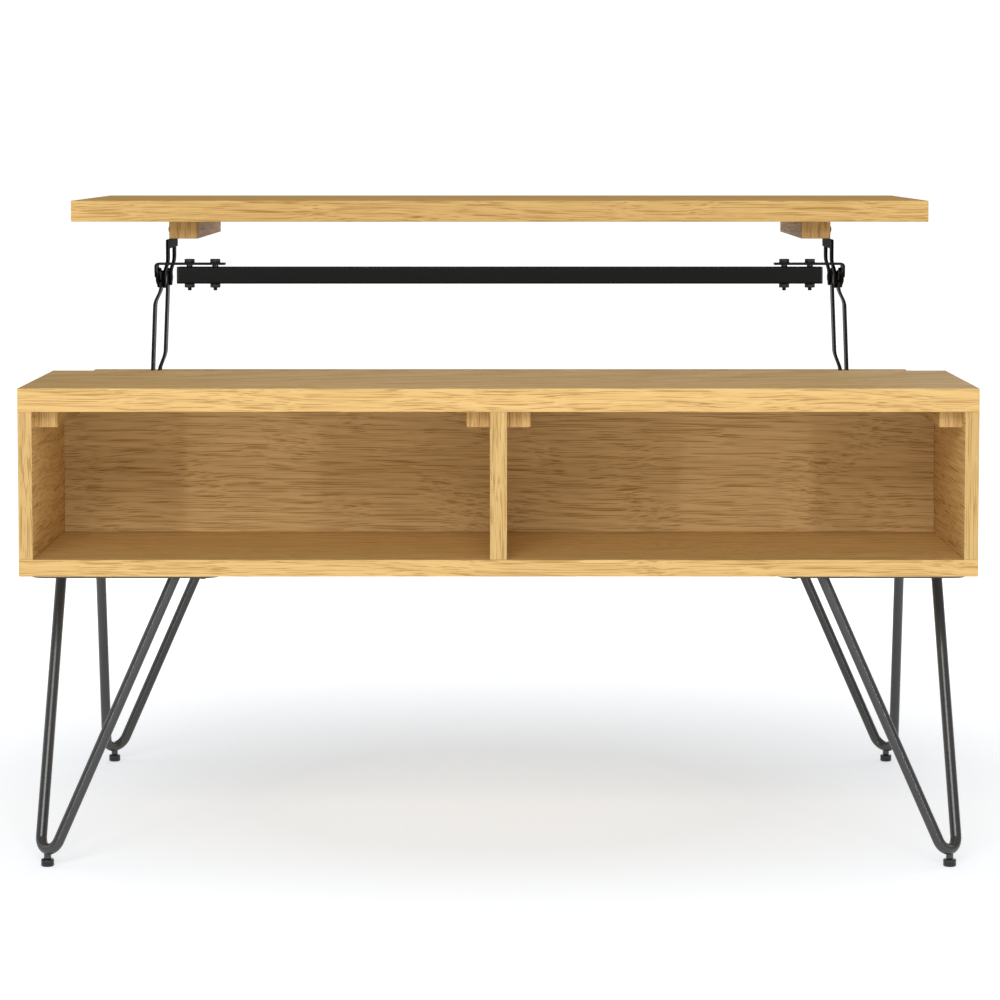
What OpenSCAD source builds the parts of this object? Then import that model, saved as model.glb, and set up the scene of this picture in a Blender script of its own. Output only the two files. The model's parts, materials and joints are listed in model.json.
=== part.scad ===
// Lift top coffee table on four hairpin legs.
// The rear part of the top rises and swings forward or back on a pair of parallelogram linkages.
// It is modelled with the lid raised. X runs across the table, Y runs from front to back and Z is up.
// The origin is on the floor, under the middle of everything that the raised table covers.

/* [Cabinet] */
// Width of the cabinet and of both tops
cabinet_width = 1016; // [840:2:1300]
// Depth of the cabinet, front to back
cabinet_depth = 660; // [640:2:820]
// Height of the cabinet's underside above the floor
leg_height = 316; // [260:1:420]
// Clear height between the bottom panel and the tops
inner_height = 157; // [130:1:240]
// Thickness of the bottom panel
bottom_thickness = 18; // [12:0.5:25]
// Thickness of the two side panels
side_thickness = 15; // [12:0.5:25]
// Thickness of the upright between the two cubbies
divider_thickness = 18; // [12:0.5:25]
// Thickness of the rear panel, the cubby back and the partitions
inner_board_thickness = 15; // [9:0.5:20]
// Depth of the two open cubbies
cubby_depth = 252; // [180:1:255]
// Width of the narrow bin between a side panel and its partition
bin_width = 58; // [35:1:110]

/* [Tops] */
// Thickness of the fixed top and of the lid
top_thickness = 25; // [18:0.5:32]
// Depth of the fixed top
fixed_top_depth = 274; // [272:0.5:290]
// Gap between the fixed top and the closed lid
top_gap = 4.5; // [4:0.1:8]
// Gap between the closed lid and the rims that it covers
closed_gap = 0.5; // [0.3:0.1:1.5]
// Distance from a rim down to the top edge of a partition, where the bumpers sit
partition_drop = 1.5; // [1:0.1:4]
// Diameter of a bumper
bumper_diameter = 10; // [6:1:12]

/* [Cleats and dowels] */
// Width of a cleat under the fixed top
cleat_width = 25; // [18:1:35]
// Height of a cleat
cleat_height = 18; // [12:1:30]
// Distance from the front to a cleat's front end
cleat_setback = 20; // [5:1:60]
// Diameter of a wooden dowel
dowel_diameter = 8; // [6:1:10]
// Length of a wooden dowel
dowel_length = 28; // [20:1:34]

/* [Lid blocks] */
// Width of a wooden block under the lid
block_width = 35; // [25:1:60]
// Thickness of a block
block_thickness = 21; // [15:1:26]
// Distance from the lid's front and back edges to a block's ends
block_inset = 37; // [15:1:60]

/* [Linkage] */
// Distance between the two pivots of an arm
arm_length = 155; // [125:1:158]
// Width of an arm
arm_width = 23; // [18:0.5:26]
// Thickness of the steel plates and arms
plate_thickness = 3; // [2:0.1:4]
// Angle of the arms from the +Y direction with the lid raised, just past upright
open_angle = 86; // [80:0.5:89]
// Angle of the arms from the +Y direction with the lid closed
closed_angle = 193; // [186:0.5:194]
// Distance between the front pivots and the rear pivots
pivot_spacing = 75; // [60:1:85]
// Distance from the lid's underside down to the upper pivots
pivot_drop = 70; // [60:0.5:78]
// Distance from the lid's front edge back to the front upper pivots
pivot_setback = 36.5; // [30:0.5:50]
// Distance that an arm is bent inwards between its base and its top
arm_joggle = 10; // [8:0.5:14]
// Distance that a lid bracket's legs stand outside its plate
bracket_joggle = 4.5; // [3:0.5:7]
// Diameter of the upper pivot rivets
upper_rivet_diameter = 8; // [6:0.1:9]
// Diameter of the base pivot pins
base_pin_diameter = 8; // [6:0.1:9]
// Clearance between two plates that turn on each other
side_play = 0.5; // [0.3:0.1:1]
// Radial clearance of a pin in its hole
pin_clearance = 0.05; // [0.02:0.01:0.1]
// Diameter of the pin that stops the front arms
stop_pin_diameter = 8; // [5:0.5:10]
// Distance along the arm from its base pivot to the stop pin
stop_distance = 22; // [16:1:24]

/* [Springs] */
// Diameter of the spring wire
spring_wire = 2.2; // [1.5:0.1:2.4]
// Clearance between a spring's coil and its pin
spring_clearance = 1.5; // [1:0.1:2]
// Number of turns of a spring
spring_turns = 5; // [3:1:5]
// Length of a spring's two straight ends
spring_leg = 32; // [20:1:36]

/* [Crossbar] */
// Outer size of the square crossbar
crossbar_size = 20; // [14:1:24]
// Wall thickness of the crossbar
crossbar_wall = 1.5; // [1:0.1:2.5]
// Distance from the crossbar's end to the lid bracket's legs
crossbar_end_gap = 17; // [12:1:40]
// Distance of the crossbar's middle in front of the front upper pivots
crossbar_forward = 28; // [26:1:32]
// Distance of the crossbar's middle above the upper pivots
crossbar_raise = 6.5; // [4:0.5:9]
// Thickness of a crossbar bracket's long flange
flange_thickness = 2.5; // [2:0.1:4]
// Thickness of the spacers between the flange and the crossbar
spacer_height = 2.25; // [1:0.05:5]
// Diameter of the crossbar bolts
bolt_diameter = 5; // [4:0.5:6]
// Distance from the crossbar's end to the first bolt
bolt_end_distance = 14.5; // [10:0.5:25]
// Distance between the two bolts at each end
bolt_spacing = 30.5; // [20:0.5:50]

/* [Hairpin legs] */
// Diameter of the leg rod
rod_diameter = 12; // [8:0.5:16]
// Distance along each edge from the foot's corner to the rod's upper ends
rod_spread = 138.5; // [100:0.5:180]
// Centreline radius of the bend at the foot
bend_radius = 16; // [12:0.5:30]
// Distance from the cabinet's side to the foot
foot_side_inset = 24; // [20:0.5:50]
// Distance from the cabinet's front or back to the foot
foot_end_inset = 28; // [24:0.5:50]
// Length of a leg plate's two straight edges
leg_plate_size = 199; // [170:1:230]
// Distance from the cabinet's edges to a leg plate
leg_plate_inset = 11; // [5:0.5:16]
// Corner radius of a leg plate
leg_plate_corner = 14; // [8:1:20]
// Diameter of a foot's pad
foot_diameter = 14; // [10:0.5:30]
// Height of a foot's pad
foot_height = 8; // [5:0.5:12]
// Diameter of a foot's threaded stud
stud_diameter = 5; // [4:0.5:6]
// Length of a foot's threaded stud
stud_length = 13; // [12:0.5:14]
// Height of the neck between the pad and the rod
neck_height = 4.4; // [3:0.1:8]

/* [Hidden] */
$fn = 64;
oak = [0.84, 0.67, 0.43];
oak_inside = [0.66, 0.48, 0.28];
black_steel = [0.10, 0.10, 0.10];
leg_steel = [0.24, 0.24, 0.25];
zinc = [0.62, 0.62, 0.63];
rubber = [0.13, 0.13, 0.13];
dowel_beech = [0.80, 0.66, 0.47];

floor_top = leg_height + bottom_thickness;
rim = floor_top + inner_height;
half_width = cabinet_width / 2;
side_face = half_width - side_thickness;
partition_outer = side_face - bin_width;
partition_face = partition_outer - inner_board_thickness;
compartment_front = cubby_depth + inner_board_thickness;
compartment_back = cabinet_depth - inner_board_thickness;

rise = arm_length * (sin(open_angle) - sin(closed_angle));
travel = arm_length * (cos(open_angle) - cos(closed_angle));
closed_lid_front = fixed_top_depth + top_gap;
lid_depth = cabinet_depth - closed_lid_front;
lid_front = closed_lid_front + travel;
lid_underside = rim + closed_gap + rise;
rest_depth = lid_front + lid_depth;
front_y = -rest_depth / 2;

upper_y = lid_front + pivot_setback;
upper_z = lid_underside - pivot_drop;
base_y = upper_y - arm_length * cos(open_angle);
base_z = upper_z - arm_length * sin(open_angle);

base_plate_x = partition_face - plate_thickness;
arm_base_x = base_plate_x - side_play - plate_thickness;
arm_top_x = arm_base_x - arm_joggle;
lid_leg_x = arm_top_x - side_play - plate_thickness;
lid_plate_x = lid_leg_x - bracket_joggle;
tie_x = arm_top_x + plate_thickness;

head_height = 2.4;
inner_head_height = 1.2;
head_gap = 0.2;
bend_reach = 5;
lid_leg_width = 20;
lid_strip_bottom = lid_underside - 33;
lid_bend_top = upper_z + 21;
lid_bend_bottom = upper_z + 8.5;
lid_plate_back = upper_y + pivot_spacing + 29;
lid_tab_front = upper_y + 36;
arm_lean = 2.7;

crossbar_half = lid_leg_x - crossbar_end_gap;
crossbar_y = upper_y - crossbar_forward;
crossbar_z = upper_z + crossbar_raise;
flange_z = crossbar_z + crossbar_size / 2 + spacer_height;
flange_inner = crossbar_half - bolt_end_distance - bolt_spacing - 12;
bracket_bend = 4;
bolt_x = [crossbar_half - bolt_end_distance, crossbar_half - bolt_end_distance - bolt_spacing];
bolt_head_radius = 6.3;
bolt_head_height = 4.6;
nut_height = 4.8;
bolt_tip = 3.4;
ear_offset = [-17, 8];
ear_radius = 7;
tie_rivet_radius = 2.5;

screw_radius = 2;
screw_head_radius = 4.2;
base_plate_front = base_y - 30;
base_plate_back = base_y + pivot_spacing + 32;
base_plate_top = base_z + 27.5;
base_plate_bottom = base_z - 52;
base_screw_inset = 12;
closed_slope = closed_angle - 180;
// The upper screws' heads stay 1 mm under the lower edge of the closed front arm
closed_arm_edge = (base_y - base_plate_front - base_screw_inset) * tan(closed_slope)
    + arm_width / 2 / cos(closed_slope);
base_screw_top = base_z - closed_arm_edge - screw_head_radius - 1;
stop_offset = arm_width / 2 + stop_pin_diameter / 2 + pin_clearance;
stop_y = base_y + stop_distance * cos(open_angle) + stop_offset * sin(open_angle);
stop_z = base_z + stop_distance * sin(open_angle) - stop_offset * cos(open_angle);

coil_radius = base_pin_diameter / 2 + spring_clearance + spring_wire / 2;
coil_pitch = spring_wire * 0.98;
coil_outer_x = arm_base_x - spring_wire / 2 - 0.4;
coil_inner_x = coil_outer_x - coil_pitch * spring_turns;
spring_hook_y = arm_width / 2 + spring_wire / 2 + 0.2;
spring_anchor_y = base_y + pivot_spacing + coil_radius;
spring_anchor_z = base_z - spring_leg;

foot_x = half_width - foot_side_inset;
bend_bottom_z = foot_height + neck_height + rod_diameter / 2;
plate_underside = leg_height - plate_thickness;
splay_out = rod_spread / sqrt(2);
splay_drop = plate_underside - bend_bottom_z;
leg_reach = sqrt(splay_out * splay_out + splay_drop * splay_drop);
leg_tilt = atan(splay_out / splay_drop);
bend_centre = leg_reach - bend_radius;
bend_distance = sqrt(splay_out * splay_out + bend_centre * bend_centre);
rod_angle = atan(splay_out / bend_centre) - asin(bend_radius / bend_distance);
rod_run = sqrt(bend_distance * bend_distance - bend_radius * bend_radius);

tiny = 0.01;

// Shared helpers

// Moves from a frame whose Y starts at the cabinet's front to the part's own frame
module in_frame() {
    translate([0, front_y, 0]) children();
}

// A block given by its lowest and highest corners
module block(low, high) {
    translate(low) cube(high - low);
}

// Right-hand children, mirrored when side is -1
module handed(side) {
    if (side < 0) mirror([1, 0, 0]) children();
    else children();
}

// Front right children, taken to the corner that side and end name
module corner(side, end) {
    if (end > 0) translate([0, cabinet_depth, 0]) mirror([0, 1, 0]) handed(side) children();
    else handed(side) children();
}

module every_corner() {
    for (side = [-1, 1], end = [-1, 1]) corner(side, end) children();
}

module both_sides() {
    for (side = [-1, 1]) handed(side) children();
}

// Extrudes a shape drawn in Y and Z along X
module along_x(from, to) {
    translate([from, 0, 0]) rotate([90, 0, 90]) linear_extrude(to - from) children();
}

// Extrudes a shape drawn in X and Z along Y
module along_y(from, to) {
    translate([0, to, 0]) rotate([90, 0, 0]) linear_extrude(to - from) children();
}

// Rod along X from one point for a length
module rod_x(from, to, y, z, radius) {
    translate([from, y, z]) rotate([0, 90, 0]) cylinder(h = to - from, r = radius);
}

// A rectangle with round corners, given by its lowest and highest corners
module rounded(low, high, radius) {
    translate(low + [radius, 0]) square([high.x - low.x - 2 * radius, high.y - low.y]);
    translate(low + [0, radius]) square([high.x - low.x, high.y - low.y - 2 * radius]);
    for (x = [low.x + radius, high.x - radius], y = [low.y + radius, high.y - radius])
        translate([x, y]) circle(radius);
}

function unit(v) = v / norm(v);

// A line whose inner corners are softened by short curves that start bend_reach away from them
function softened(line) = concat(
    [line[0]],
    [for (i = [1:len(line) - 2], t = [0:0.25:1])
        line[i] + unit(line[i - 1] - line[i]) * bend_reach * (1 - t) ^ 2
                + unit(line[i + 1] - line[i]) * bend_reach * t ^ 2],
    [line[len(line) - 1]]
);

// A bent strip's edge view in X and Z: its inner line, given a thickness in X
module bent_strip(corners) {
    line = softened(corners);
    back = [for (i = [len(line) - 1:-1:0]) line[i] + [plate_thickness, 0]];
    polygon(concat(line, back));
}

// A pan head screw along +Z with its seat at the origin
module screw(length) {
    translate([0, 0, -head_height])
        cylinder(h = head_height, r1 = screw_head_radius - 1, r2 = screw_head_radius);
    translate([0, 0, -tiny]) cylinder(h = length, r = screw_radius);
}

// Cabinet boards

module bottom_panel() {
    color(oak) in_frame()
        block([-half_width, 0, leg_height], [half_width, cabinet_depth, floor_top]);
}

module side_panel(side) {
    color(oak) in_frame() handed(side)
        block([side_face, 0, floor_top], [half_width, cabinet_depth, rim]);
}

module left_side_panel() { side_panel(-1); }

module right_side_panel() { side_panel(1); }

module rear_panel() {
    color(oak) in_frame()
        block([-side_face, compartment_back, floor_top], [side_face, cabinet_depth, rim]);
}

module cubby_back_panel() {
    color(oak_inside) in_frame()
        block([-side_face, cubby_depth, floor_top], [side_face, compartment_front, rim]);
}

module cubby_divider() {
    color(oak) in_frame()
        block([-divider_thickness / 2, 0, floor_top], [divider_thickness / 2, cubby_depth, rim]);
}

module fixed_top() {
    color(oak) in_frame()
        block([-half_width, 0, rim], [half_width, fixed_top_depth, rim + top_thickness]);
}

module partition(side) {
    color(oak_inside) in_frame() handed(side)
        block([partition_face, compartment_front, floor_top],
              [partition_outer, compartment_back, rim - partition_drop]);
}

module left_partition() { partition(-1); }

module right_partition() { partition(1); }

// Inner X of the cleat beside a side panel and of the cleat beside the divider
cleat_x = [side_face - cleat_width, divider_thickness / 2];
cleat_back = cubby_depth - cleat_setback / 2;

module cleat(side, place) {
    color(oak) in_frame() handed(side)
        block([cleat_x[place], cleat_setback, rim - cleat_height],
              [cleat_x[place] + cleat_width, cleat_back, rim]);
}

module left_side_cleat() { cleat(-1, 0); }

module left_divider_cleat() { cleat(-1, 1); }

module right_divider_cleat() { cleat(1, 1); }

module right_side_cleat() { cleat(1, 0); }

// Two screws up through each cleat into the fixed top
module cleat_screws() {
    color(zinc) in_frame() both_sides()
        for (x = cleat_x, y = [cleat_setback + 30, cleat_back - 30])
            translate([x + cleat_width / 2, y, rim - cleat_height])
                screw(cleat_height + top_thickness * 0.6);
}

// Dowels between the upright boards and the bottom panel, and up into the fixed top
module dowels() {
    side_y = [for (step = [0:3]) 50 + step * (cabinet_depth - 100) / 3];
    top_y = [50, fixed_top_depth - 60];
    color(dowel_beech) in_frame() {
        both_sides() {
            for (y = side_y) dowel((side_face + half_width) / 2, y, floor_top);
            for (y = top_y) dowel((side_face + half_width) / 2, y, rim);
            for (x = [side_face * 0.3, side_face * 0.75], y = [cubby_depth, compartment_back])
                dowel(x, y + inner_board_thickness / 2, floor_top);
            for (y = [compartment_front + 50, compartment_back - 50])
                dowel((partition_face + partition_outer) / 2, y, floor_top);
        }
        for (y = top_y, z = [floor_top, rim]) dowel(0, y, z);
    }
}

module dowel(x, y, z) {
    sunk = bottom_thickness * 0.7;
    translate([x, y, z - sunk])
        cylinder(h = min(dowel_length, sunk + top_thickness * 0.7), d = dowel_diameter);
}

// Low rubber bumpers on the partitions, which the closed lid rests on
module lid_bumpers() {
    color(rubber) in_frame() both_sides()
        for (y = [closed_lid_front + 30, compartment_back - 40])
            translate([(partition_face + partition_outer) / 2, y, rim - partition_drop])
                cylinder(h = partition_drop + closed_gap - 0.1, d = bumper_diameter);
}

// Linkage, drawn for the right-hand side

base_screw_at = [
    for (y = [base_plate_front + base_screw_inset, base_plate_back - base_screw_inset])
        for (z = [base_plate_bottom + base_screw_inset, base_screw_top]) [y, z]
];

// Side plate on the partition, with the holes of both base pins, the stop pin and four screws
module base_bracket(side) {
    color(black_steel) in_frame() handed(side) {
        along_x(base_plate_x, partition_face) difference() {
            rounded([base_plate_front, base_plate_bottom], [base_plate_back, base_plate_top], 8);
            for (y = [base_y, base_y + pivot_spacing])
                translate([y, base_z]) circle(base_pin_diameter / 2 + pin_clearance);
            for (at = base_screw_at) translate(at) circle(screw_radius + 0.3);
        }
        rod_x(arm_base_x, base_plate_x + tiny, stop_y, stop_z, stop_pin_diameter / 2);
        rod_x(coil_inner_x - 2, base_plate_x + tiny, spring_anchor_y, spring_anchor_z - 4.5, 2.5);
    }
}

module left_base_bracket() { base_bracket(-1); }

module right_base_bracket() { base_bracket(1); }

module base_bracket_screws() {
    color(zinc) in_frame() both_sides()
        for (at = base_screw_at)
            translate([base_plate_x, at.x, at.y]) rotate([0, 90, 0])
                screw(plate_thickness + inner_board_thickness * 0.8);
}

// A base pin from the underside of its head to the partition
module base_pin(head_x, y) {
    radius = base_pin_diameter / 2;
    rod_x(head_x, partition_face - tiny, y, base_z, radius);
    rod_x(head_x - head_height, head_x, y, base_z, radius + 3);
}

// Four base pins, the rear pair long enough to carry the springs
module base_pivot_pins() {
    color(zinc) in_frame() both_sides() {
        base_pin(arm_base_x - side_play, base_y);
        base_pin(coil_inner_x - 0.6, base_y + pivot_spacing);
    }
}

// Torsion spring round the rear base pin: one end pushes the rear arm, the other bears on a post.
// The coil is a plain sleeve of the coil's own outer and inner size.
module spring(side) {
    arm_y = base_y + pivot_spacing;
    wire = spring_wire / 2;
    hook_end = arm_base_x + plate_thickness;
    color(zinc) in_frame() handed(side) {
        difference() {
            rod_x(coil_inner_x, coil_outer_x + wire, arm_y, base_z, coil_radius + wire);
            rod_x(coil_inner_x - 1, coil_outer_x + wire + 1, arm_y, base_z, coil_radius - wire);
        }
        translate([0, arm_y, base_z]) rotate([open_angle - 90, 0, 0]) {
            translate([coil_outer_x, -coil_radius, 0]) cylinder(h = spring_leg + wire, r = wire);
            translate([coil_outer_x, -coil_radius, spring_leg]) rotate([90, 0, 0])
                cylinder(h = spring_hook_y - coil_radius + wire, r = wire * 0.98);
            rod_x(coil_outer_x - wire * 0.5, hook_end, -spring_hook_y, spring_leg, wire * 0.96);
        }
        translate([coil_inner_x + wire, spring_anchor_y, spring_anchor_z]) cylinder(h = spring_leg, r = wire);
    }
}

module left_spring() { spring(-1); }

module right_spring() { spring(1); }

// Flat bar between the two pivots of an arm, in Y and Z
module arm_outline(y) {
    translate([y, base_z]) rotate(open_angle) {
        translate([0, -arm_width / 2]) square([arm_length, arm_width]);
        circle(d = arm_width);
        translate([arm_length, 0]) circle(d = arm_width);
    }
}

// Front arm: bent inwards just below its top, with an ear for the crossbar bracket
module front_arm(side) {
    color(black_steel) in_frame() handed(side) intersection() {
        along_x(arm_top_x - 1, base_plate_x) difference() {
            union() {
                arm_outline(base_y);
                hull() {
                    translate([upper_y, upper_z]) circle(ear_radius, $fn = 32);
                    translate([upper_y, upper_z] + ear_offset) circle(ear_radius, $fn = 32);
                }
            }
            translate([base_y, base_z]) circle(base_pin_diameter / 2 + pin_clearance);
            translate([upper_y, upper_z]) circle(upper_rivet_diameter / 2 + pin_clearance);
            translate([upper_y, upper_z] + ear_offset) circle(tie_rivet_radius + pin_clearance);
        }
        along_y(base_y - 60, base_y + 60) bent_strip([
            [arm_base_x, base_z - arm_width],
            [arm_base_x, base_z + arm_length * 0.3],
            [arm_base_x - arm_lean, upper_z - 27],
            [arm_top_x, upper_z - 12],
            [arm_top_x, upper_z + arm_width]
        ]);
    }
}

module left_front_arm() { front_arm(-1); }

module right_front_arm() { front_arm(1); }

// Rear arm: bent inwards just above its base
module rear_arm(side) {
    y = base_y + pivot_spacing;
    color(black_steel) in_frame() handed(side) intersection() {
        along_x(arm_top_x - 1, base_plate_x) difference() {
            arm_outline(y);
            translate([y, base_z]) circle(base_pin_diameter / 2 + pin_clearance);
            translate([upper_y + pivot_spacing, upper_z]) circle(upper_rivet_diameter / 2 + pin_clearance);
        }
        along_y(y - 60, y + 60) bent_strip([
            [arm_base_x, base_z - arm_width],
            [arm_base_x, base_z + arm_length * 0.28],
            [arm_top_x + arm_lean, base_z + arm_length * 0.4],
            [arm_top_x, upper_z - 14],
            [arm_top_x, upper_z + arm_width]
        ]);
    }
}

module left_rear_arm() { rear_arm(-1); }

module right_rear_arm() { rear_arm(1); }

// A rivet between two X positions, with a head at each end
module rivet(from, to, y) {
    radius = upper_rivet_diameter / 2;
    rod_x(from, to, y, upper_z, radius);
    rod_x(from - inner_head_height, from, y, upper_z, radius + 1.4);
    rod_x(to, to + head_height, y, upper_z, radius + 1.8);
}

// Each front rivet joins a crossbar bracket, a front arm and a leg of the lid bracket
module front_pivot_rivets() {
    color(zinc) in_frame() both_sides()
        rivet(lid_leg_x - head_gap, tie_x + plate_thickness, upper_y);
}

module rear_pivot_rivets() {
    color(zinc) in_frame() both_sides()
        rivet(lid_leg_x - head_gap, arm_top_x + plate_thickness, upper_y + pivot_spacing);
}

// What rounding the outside of a crossbar bracket's bend takes off its corner
module bend_waste() {
    half = crossbar_size / 2 + 1;
    centre = [tie_x + plate_thickness - bracket_bend, flange_z + flange_thickness - bracket_bend];
    along_y(crossbar_y - half, crossbar_y + half) translate(centre) difference() {
        square(bracket_bend + 1);
        circle(bracket_bend);
    }
}

// Angle bracket between a front arm and the crossbar: an upright flange and a long level one
module crossbar_bracket(side) {
    half = crossbar_size / 2;
    color(black_steel) in_frame() handed(side) difference() {
        bracket_flanges(half);
        bend_waste();
    }
}

module bracket_flanges(half) {
    union() {
        along_x(tie_x, tie_x + plate_thickness) difference() {
            hull() {
                translate([upper_y, upper_z]) circle(9.5, $fn = 32);
                translate([upper_y, upper_z] + ear_offset) circle(ear_radius, $fn = 32);
                translate([crossbar_y - half, flange_z - 8]) square([crossbar_size, 8 + flange_thickness]);
            }
            translate([upper_y, upper_z]) circle(upper_rivet_diameter / 2 + pin_clearance);
            translate([upper_y, upper_z] + ear_offset) circle(tie_rivet_radius + pin_clearance);
        }
        difference() {
            block([flange_inner, crossbar_y - half, flange_z],
                  [tie_x + tiny, crossbar_y + half, flange_z + flange_thickness]);
            for (x = bolt_x) translate([x, crossbar_y, flange_z - 1])
                cylinder(h = flange_thickness + 2, d = bolt_diameter + 0.4);
        }
    }
}

module left_crossbar_bracket() { crossbar_bracket(-1); }

module right_crossbar_bracket() { crossbar_bracket(1); }

// Small rivets that keep the crossbar brackets from turning on the front arms
module bracket_tie_rivets() {
    y = upper_y + ear_offset.x;
    z = upper_z + ear_offset.y;
    color(zinc) in_frame() both_sides() {
        rod_x(arm_top_x + 0.2, tie_x + plate_thickness, y, z, tie_rivet_radius);
        rod_x(tie_x + plate_thickness, tie_x + plate_thickness + 1.6, y, z, tie_rivet_radius + 2);
    }
}

module crossbar() {
    half = crossbar_size / 2;
    color(black_steel) in_frame() difference() {
        along_x(-crossbar_half + 2, crossbar_half - 2) difference() {
            rounded([crossbar_y - half, crossbar_z - half], [crossbar_y + half, crossbar_z + half], 2);
            translate([crossbar_y - half + crossbar_wall, crossbar_z - half + crossbar_wall])
                square(crossbar_size - 2 * crossbar_wall);
        }
        for (x = concat(bolt_x, -bolt_x)) translate([x, crossbar_y, crossbar_z - half - 1])
            cylinder(h = crossbar_size + 2, d = bolt_diameter + 0.2);
    }
}

// Plastic end plugs of the crossbar
module crossbar_caps() {
    half = crossbar_size / 2;
    plug = half - crossbar_wall - 0.1;
    color(rubber) in_frame() both_sides() {
        along_x(crossbar_half - 2, crossbar_half)
            rounded([crossbar_y - half, crossbar_z - half], [crossbar_y + half, crossbar_z + half], 3);
        block([crossbar_half - 9, crossbar_y - plug, crossbar_z - plug],
              [crossbar_half - 2 + tiny, crossbar_y + plug, crossbar_z + plug]);
    }
}

module at_each_bolt(z) {
    in_frame() both_sides() for (x = bolt_x) translate([x, crossbar_y, z]) children();
}

module crossbar_bolts() {
    shank = bolt_head_height + flange_thickness + spacer_height + crossbar_size + nut_height + bolt_tip;
    color(black_steel) at_each_bolt(flange_z + flange_thickness + bolt_head_height) {
        translate([0, 0, -bolt_head_height]) cylinder(h = bolt_head_height, r = bolt_head_radius, $fn = 6);
        translate([0, 0, -shank]) cylinder(h = shank - tiny, d = bolt_diameter);
    }
}

// Sleeves between the level flange and the crossbar
module crossbar_spacers() {
    color(rubber) at_each_bolt(flange_z - spacer_height) difference() {
        cylinder(h = spacer_height, d = bolt_diameter + 2.4);
        translate([0, 0, -1]) cylinder(h = spacer_height + 2, d = bolt_diameter + 0.2);
    }
}

module crossbar_nuts() {
    color(black_steel) at_each_bolt(crossbar_z - crossbar_size / 2 - nut_height) difference() {
        cylinder(h = nut_height, r = bolt_head_radius, $fn = 6);
        translate([0, 0, -1]) cylinder(h = nut_height + 2, d = bolt_diameter + 0.1);
    }
}

// Lid

module lift_top() {
    color(oak) in_frame()
        block([-half_width, lid_front, lid_underside],
              [half_width, lid_front + lid_depth, lid_underside + top_thickness]);
}

module lid_block(side) {
    color(oak) in_frame() handed(side)
        block([lid_plate_x - block_width, lid_front + block_inset, lid_underside - block_thickness],
              [lid_plate_x, lid_front + lid_depth - block_inset, lid_underside]);
}

module left_lid_block() { lid_block(-1); }

module right_lid_block() { lid_block(1); }

// Screws up through the blocks into the lid, their heads sunk flush with the blocks' undersides
module lid_block_screws() {
    block_back = lid_front + lid_depth - block_inset;
    color(zinc) in_frame() both_sides()
        for (y = [lid_front + block_inset + 30, (lid_front * 2 + lid_depth) / 2, block_back - 30])
            translate([lid_plate_x - block_width / 2, y, lid_underside - block_thickness + head_height])
                screw(block_thickness - head_height + top_thickness * 0.6);
}

lid_screw_step = (lid_plate_back - lid_tab_front) / 2 - 9;
lid_screw_at = [for (step = [0:2]) [lid_tab_front + 9 + step * lid_screw_step, lid_underside - 11]];

// Plate on the block's outer face with two legs down to the upper pivots
module lid_bracket(side) {
    color(black_steel) in_frame() handed(side) intersection() {
        along_x(lid_plate_x, arm_top_x - side_play) difference() {
            union() {
                rounded([upper_y - 10, lid_strip_bottom], [lid_plate_back, lid_strip_bottom + 11], 4);
                rounded([lid_tab_front, lid_strip_bottom], [lid_plate_back, lid_underside - 2], 4);
                for (y = [upper_y, upper_y + pivot_spacing]) {
                    translate([y, upper_z]) circle(d = lid_leg_width);
                    translate([y - lid_leg_width / 2, upper_z])
                        square([lid_leg_width, lid_strip_bottom + 5 - upper_z]);
                }
            }
            translate([upper_y, upper_z]) circle(upper_rivet_diameter / 2 + pin_clearance);
            translate([upper_y + pivot_spacing, upper_z]) circle(upper_rivet_diameter / 2 + 6 * pin_clearance);
            for (at = lid_screw_at) translate(at) circle(screw_radius + 0.3);
        }
        along_y(upper_y - 60, lid_plate_back + 60) bent_strip([
            [lid_leg_x, upper_z - lid_leg_width],
            [lid_leg_x, lid_bend_bottom],
            [lid_plate_x, lid_bend_top],
            [lid_plate_x, lid_underside]
        ]);
    }
}

module left_lid_bracket() { lid_bracket(-1); }

module right_lid_bracket() { lid_bracket(1); }

module lid_bracket_screws() {
    color(zinc) in_frame() both_sides()
        for (at = lid_screw_at)
            translate([lid_plate_x + plate_thickness, at.x, at.y]) rotate([0, -90, 0])
                screw(plate_thickness + block_width * 0.5);
}

// Legs, drawn for the front right-hand corner

leg_plate_outer = half_width - leg_plate_inset;
leg_screw_at = [
    [leg_plate_outer - 182, leg_plate_inset + 11],
    [leg_plate_outer - 11, leg_plate_inset + 182],
    [leg_plate_outer - 24, leg_plate_inset + 24],
    [leg_plate_outer - 78, leg_plate_inset + 78]
];

// Triangular plate under the bottom panel
module leg_plate(side, end) {
    low = leg_plate_inset + leg_plate_corner;
    outer = half_width - low;
    run = leg_plate_size - 2 * leg_plate_corner;
    color(leg_steel) in_frame() corner(side, end)
        translate([0, 0, plate_underside]) linear_extrude(plate_thickness) difference() {
            hull() for (at = [[outer, low], [outer - run, low], [outer, low + run]])
                translate(at) circle(leg_plate_corner, $fn = 48);
            for (at = leg_screw_at) translate(at) circle(screw_radius + 0.4);
        }
}

module front_left_leg_plate() { leg_plate(-1, -1); }

module front_right_leg_plate() { leg_plate(1, -1); }

module rear_left_leg_plate() { leg_plate(-1, 1); }

module rear_right_leg_plate() { leg_plate(1, 1); }

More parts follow.
